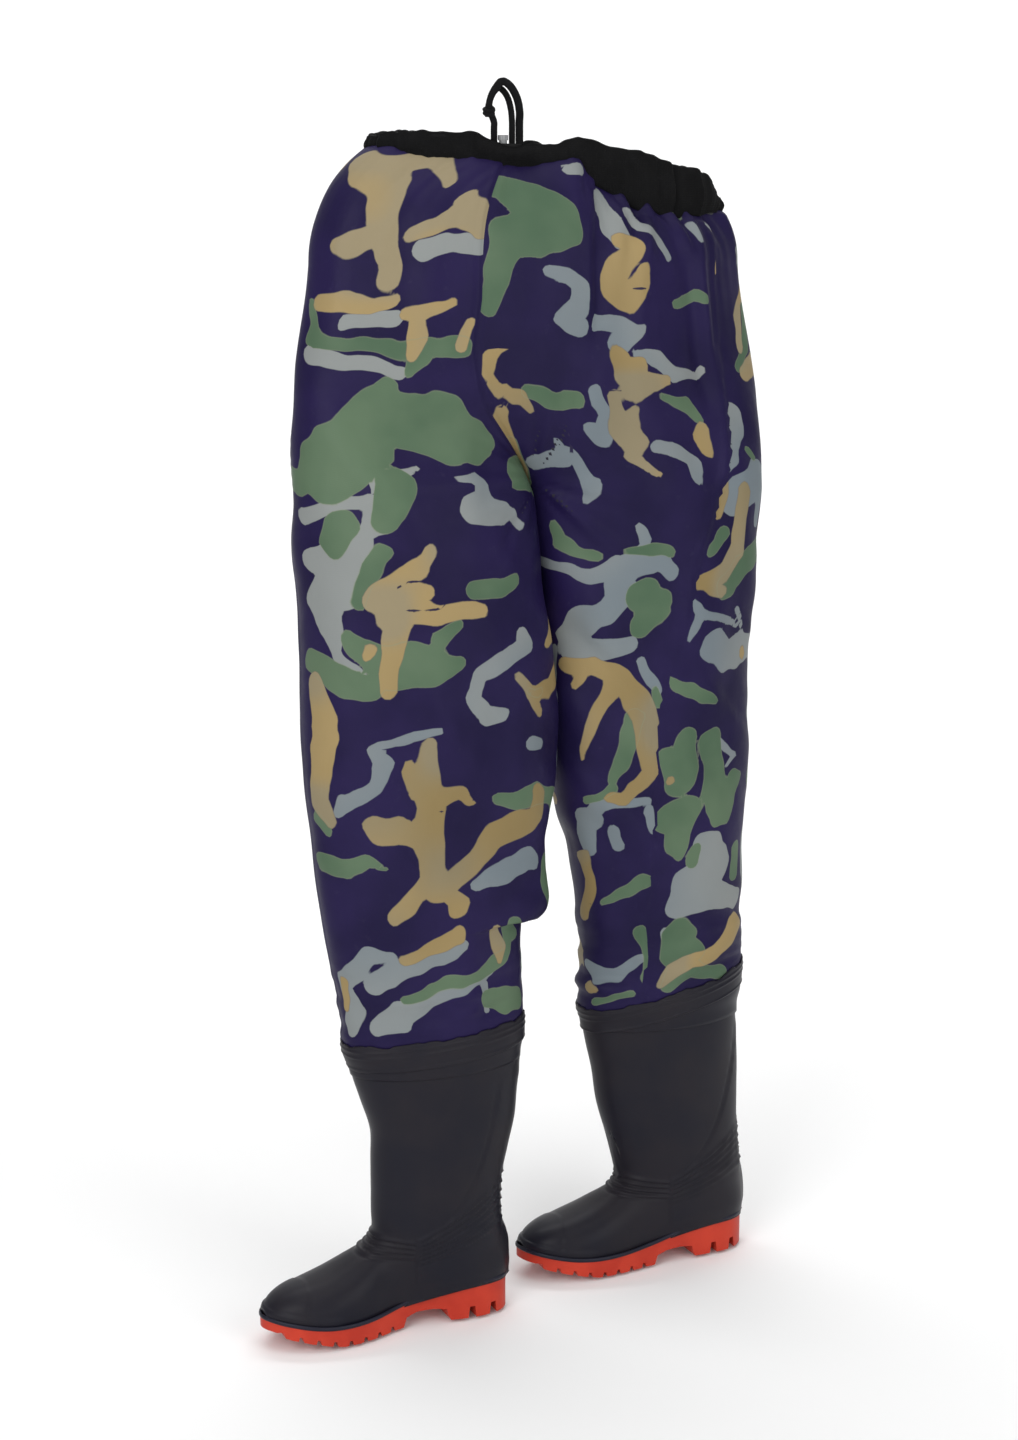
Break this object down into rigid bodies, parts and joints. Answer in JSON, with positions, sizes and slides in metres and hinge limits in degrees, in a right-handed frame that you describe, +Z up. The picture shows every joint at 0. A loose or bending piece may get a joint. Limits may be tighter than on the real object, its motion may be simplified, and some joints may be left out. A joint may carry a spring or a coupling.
{
  "type": "fishing waders",
  "caption": "Waist-high camouflage waders: coated trousers welded to moulded boots with lugged soles, gathered waistband, drawcord loop and cord lock.",
  "frame": {"origin": "under the apex of the drawcord loop, where a hook or peg holds the waders up", "axes": "+Z up, the trouser front faces -Y, the wearer's left is +X; both boots' toes point to -X as the pair hangs"},
  "size_m": [0.6192, 0.188, 1.3362],
  "materials": {
    "coated_camo_fabric": "satin coated fabric, woodland pattern",
    "seam_tape": "satin welded tape",
    "waistband_fabric": "matt gathered fabric",
    "elastic": "ribbed elastic",
    "cord": "braided cord",
    "dark_metal": "dark plated",
    "lock_plastic": "moulded",
    "button_plastic": "moulded, ribbed",
    "boot_pvc": "satin moulded PVC",
    "welt_pvc": "satin moulded PVC",
    "sole_pvc": "satin moulded PVC",
    "lining_knit": "knitted"
  },
  "bodies": {
    "waist": {"waistband_sleeve": "waistband_fabric", "waist_elastic": "elastic", "drawcord_channel_run": "cord", "drawcord_loop": "cord", "drawcord_second_strand": "cord", "right_cord_eyelet": "dark_metal", "left_cord_eyelet": "dark_metal", "right_front_seat_panel": "coated_camo_fabric", "left_front_seat_panel": "coated_camo_fabric", "left_back_seat_panel": "coated_camo_fabric", "right_back_seat_panel": "coated_camo_fabric", "front_rise_seam_tape": "seam_tape", "back_rise_seam_tape": "seam_tape", "right_hip_seam_tape": "seam_tape", "left_hip_seam_tape": "seam_tape", "crotch_gusset": "coated_camo_fabric", "right_hip_fold": "coated_camo_fabric", "left_hip_fold": "coated_camo_fabric"},
    "cord_lock": {"cord_lock_casing": "lock_plastic", "cord_lock_spring": "dark_metal"},
    "cord_lock_button": {"cord_lock_plunger": "button_plastic"},
    "right_thigh": {"right_front_thigh_panel": "coated_camo_fabric", "right_back_thigh_panel": "coated_camo_fabric", "right_outer_seam_tape": "seam_tape", "right_inner_seam_tape": "seam_tape", "right_knee_fold": "coated_camo_fabric"},
    "right_shin": {"right_front_shin_panel": "coated_camo_fabric", "right_back_shin_panel": "coated_camo_fabric", "right_boot_upper": "boot_pvc", "right_boot_collar": "boot_pvc", "right_boot_welt": "welt_pvc", "right_boot_outsole": "sole_pvc", "right_boot_insole": "lining_knit", "right_boot_lining": "lining_knit"},
    "left_thigh": {"left_front_thigh_panel": "coated_camo_fabric", "left_back_thigh_panel": "coated_camo_fabric", "left_outer_seam_tape": "seam_tape", "left_inner_seam_tape": "seam_tape", "left_knee_fold": "coated_camo_fabric"},
    "left_shin": {"left_front_shin_panel": "coated_camo_fabric", "left_back_shin_panel": "coated_camo_fabric", "left_boot_upper": "boot_pvc", "left_boot_collar": "boot_pvc", "left_boot_welt": "welt_pvc", "left_boot_outsole": "sole_pvc", "left_boot_insole": "lining_knit", "left_boot_lining": "lining_knit"}
  },
  "joints": [
    {"name": "right_hip", "type": "hinge", "parent": "waist", "child": "right_thigh", "pos_m": [-0.075, 0.0356, -0.525], "axis": [1, 0, 0], "range_deg": [-70, 30], "deforming": ["right_hip_fold"]},
    {"name": "right_knee", "type": "hinge", "parent": "right_thigh", "child": "right_shin", "pos_m": [-0.075, 0.0296, -0.855], "axis": [1, 0, 0], "range_deg": [0, 90], "deforming": ["right_knee_fold"]},
    {"name": "left_hip", "type": "hinge", "parent": "waist", "child": "left_thigh", "pos_m": [0.198, 0.0646, -0.525], "axis": [1, 0, 0], "range_deg": [-70, 30], "deforming": ["left_hip_fold"]},
    {"name": "left_knee", "type": "hinge", "parent": "left_thigh", "child": "left_shin", "pos_m": [0.225, 0.0686, -0.855], "axis": [1, 0, 0], "range_deg": [0, 90], "deforming": ["left_knee_fold"]},
    {"name": "cord_lock_slide", "type": "slide", "parent": "waist", "child": "cord_lock", "axis": [0, 0, 1], "range_m": [0, 0.018]},
    {"name": "cord_lock_press", "type": "slide", "parent": "cord_lock", "child": "cord_lock_button", "axis": [0, 0, -1], "range_m": [0, 0.0028], "stiffness_N_per_m": 400, "springref_m": -0.002, "deforming": ["cord_lock_spring"]}
  ]
}
